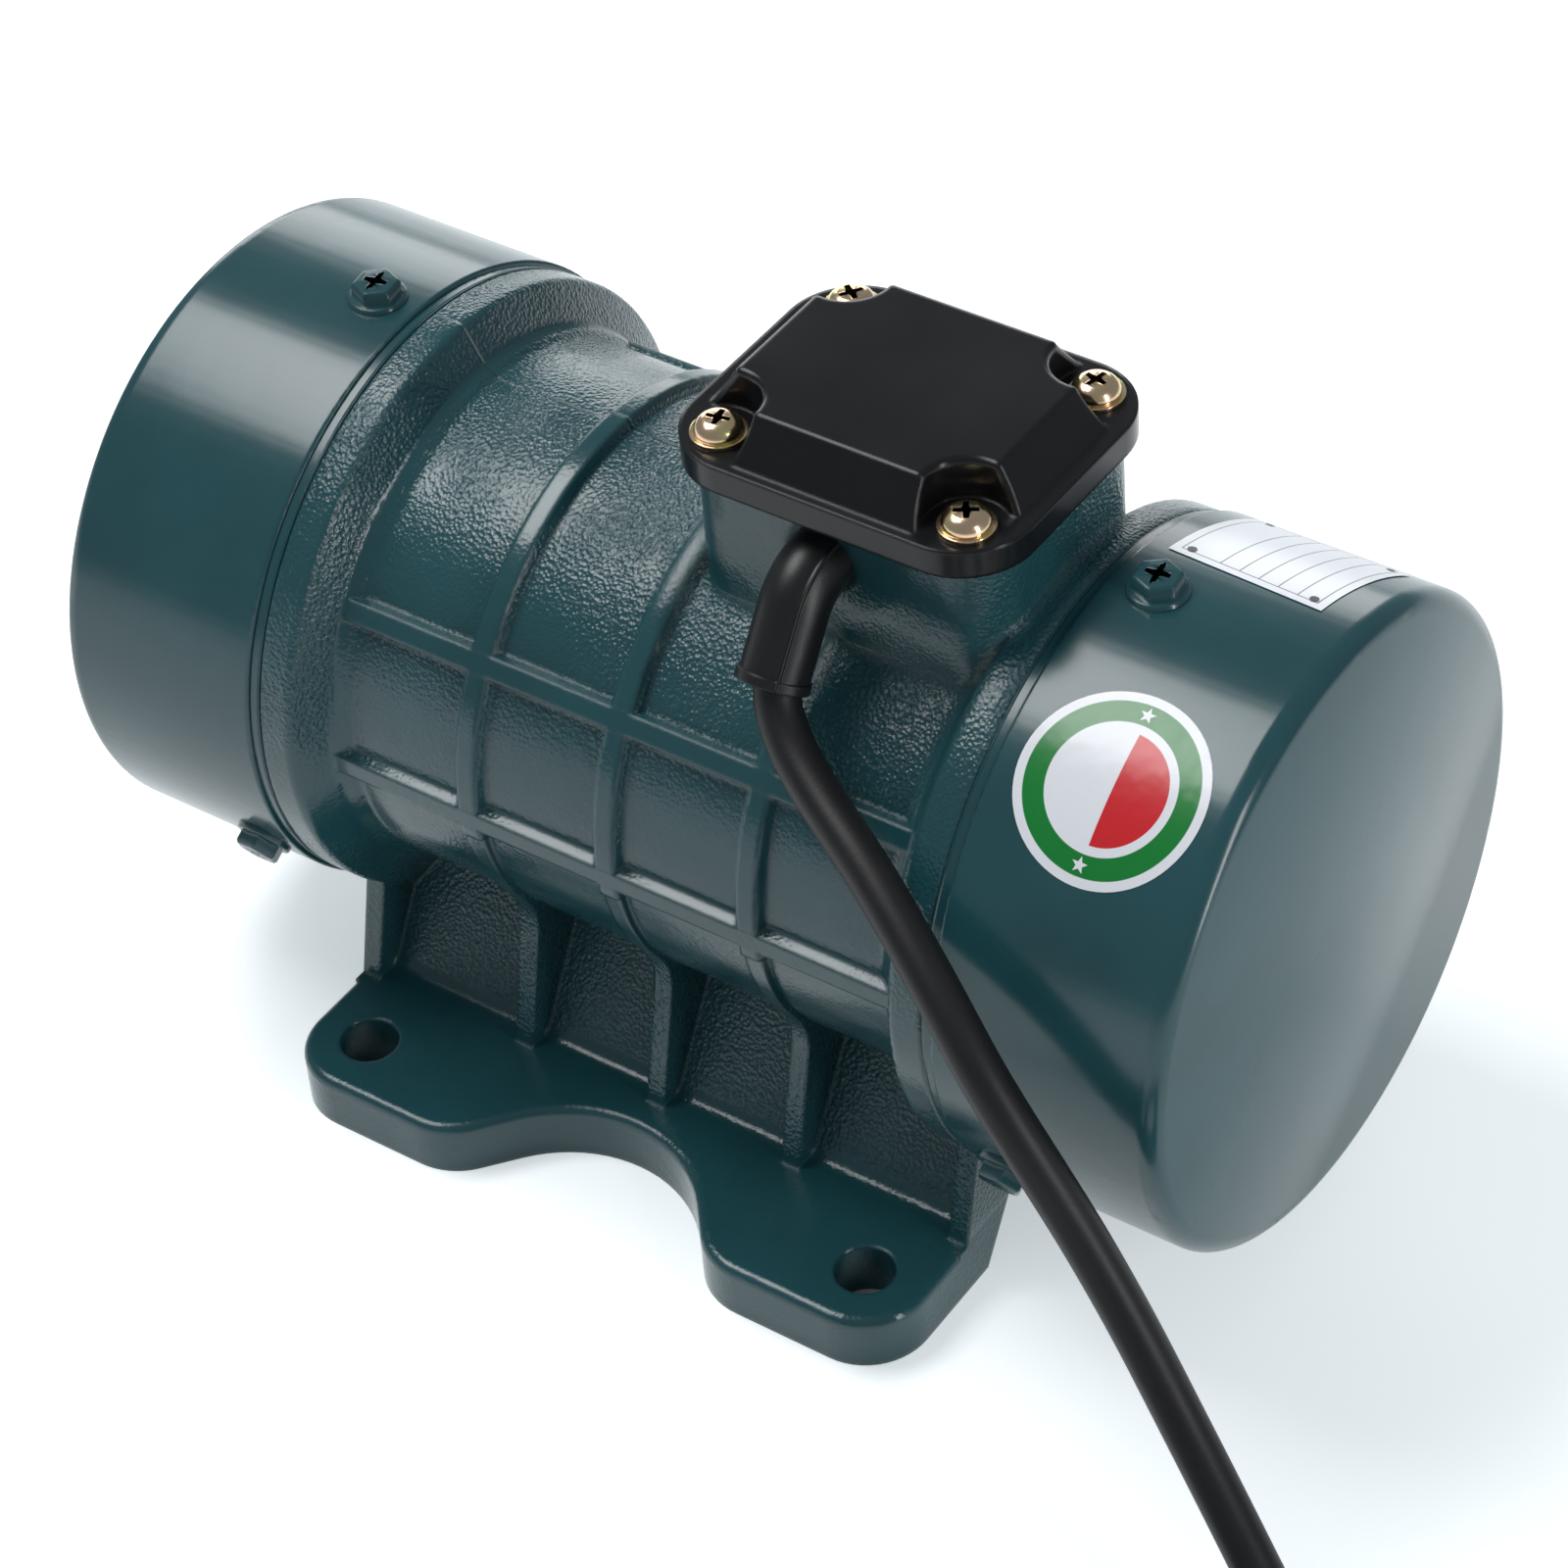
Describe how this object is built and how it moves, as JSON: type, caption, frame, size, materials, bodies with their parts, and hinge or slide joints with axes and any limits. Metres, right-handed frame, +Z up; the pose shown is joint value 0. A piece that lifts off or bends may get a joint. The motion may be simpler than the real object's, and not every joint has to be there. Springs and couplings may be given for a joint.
{
  "type": "vibration motor",
  "caption": "Foot-mounted vibration motor: ribbed cast housing, clamped unbalance weights under round end covers, black terminal box and supply cable.",
  "frame": {"origin": "on the standing surface, midway between the four foot holes, below the shaft's middle", "axes": "+X along the shaft towards the end nearer the terminal box, +Z up from the feet, +Y away from the side where the cable leaves"},
  "size_m": [0.3032, 0.253, 0.1441],
  "materials": {
    "casting_paint": "glossy dark teal enamel over a sand-cast skin",
    "cover_paint": "glossy dark teal enamel, smooth",
    "painted_screws": "steel screws painted over with the motor",
    "steel": "turned steel",
    "core_steel": "stack of electrical steel stampings",
    "copper": "enamelled copper wire",
    "bearing_steel": "ground bearing steel",
    "cage_brass": "pressed brass cage",
    "gasket": "flat rubber gasket",
    "lid_plastic": "black moulded plastic",
    "zinc_plated": "yellow zinc-plated steel",
    "block_plastic": "pale moulded plastic",
    "brass": "brass screws",
    "can": "aluminium can",
    "sleeve_rubber": "black rubber sleeve",
    "cable_jacket": "black rubber-sheathed cable",
    "plug_plastic": "black moulded plug",
    "pin_metal": "nickel-plated pins and contacts",
    "cast_aluminium": "cast aluminium short-circuit rings",
    "weight_steel": "flame-cut steel weights"
  },
  "bodies": {
    "root": {"housing": "casting_paint", "end_shield_left": "casting_paint", "end_shield_right": "casting_paint", "cover_left": "cover_paint", "cover_right": "cover_paint", "cover_screws_left": "painted_screws", "cover_screws_right": "painted_screws", "shield_screws_left": "steel", "shield_screws_right": "steel", "stator_core": "core_steel", "stator_windings": "copper", "bearing_outer_left": "bearing_steel", "bearing_outer_right": "bearing_steel", "bearing_circlips": "steel", "box_gasket": "gasket", "box_lid": "lid_plastic", "lid_screws": "zinc_plated", "lid_washers": "zinc_plated", "terminal_block": "block_plastic", "terminal_screws": "brass", "earth_screw": "brass", "run_capacitor": "can", "core_wires": "cable_jacket", "cable_sleeve": "sleeve_rubber", "supply_cable": "cable_jacket", "cable_coil": "cable_jacket", "plug_body": "plug_plastic", "plug_pins": "pin_metal", "plug_earth_contacts": "pin_metal"},
    "rotor": {"rotor_shaft": "steel", "rotor_core": "core_steel", "rotor_end_rings": "cast_aluminium", "shaft_keys": "steel", "bearing_inner_left": "bearing_steel", "bearing_inner_right": "bearing_steel", "weight_inner_left": "weight_steel", "weight_inner_right": "weight_steel", "weight_bolts_inner": "steel", "shaft_circlips": "steel"},
    "ball_set_left": {"bearing_balls_left": "bearing_steel", "bearing_cage_left": "cage_brass"},
    "outer_weight_left": {"weight_outer_left": "weight_steel", "weight_bolt_left": "steel"},
    "ball_set_right": {"bearing_balls_right": "bearing_steel", "bearing_cage_right": "cage_brass"},
    "outer_weight_right": {"weight_outer_right": "weight_steel", "weight_bolt_right": "steel"}
  },
  "joints": [
    {"name": "rotor_spin", "type": "hinge", "parent": "root", "child": "rotor", "pos_m": [0, 0, 0.067], "axis": [1, 0, 0], "continuous": true},
    {"name": "ball_set_left_roll", "type": "hinge", "parent": "root", "child": "ball_set_left", "pos_m": [-0.068, 0, 0.067], "axis": [1, 0, 0], "continuous": true},
    {"name": "ball_set_right_roll", "type": "hinge", "parent": "root", "child": "ball_set_right", "pos_m": [0.068, 0, 0.067], "axis": [1, 0, 0], "continuous": true},
    {"name": "weight_left_adjust", "type": "hinge", "parent": "rotor", "child": "outer_weight_left", "pos_m": [-0.0913, 0, 0.067], "axis": [1, 0, 0], "range_deg": [0, 180]},
    {"name": "weight_right_adjust", "type": "hinge", "parent": "rotor", "child": "outer_weight_right", "pos_m": [0.0913, 0, 0.067], "axis": [1, 0, 0], "range_deg": [0, 180]}
  ],
  "couplings": [
    {"joint": "ball_set_left_roll", "follows": "rotor_spin", "ratio": 0.3842},
    {"joint": "ball_set_right_roll", "follows": "rotor_spin", "ratio": 0.3842}
  ]
}
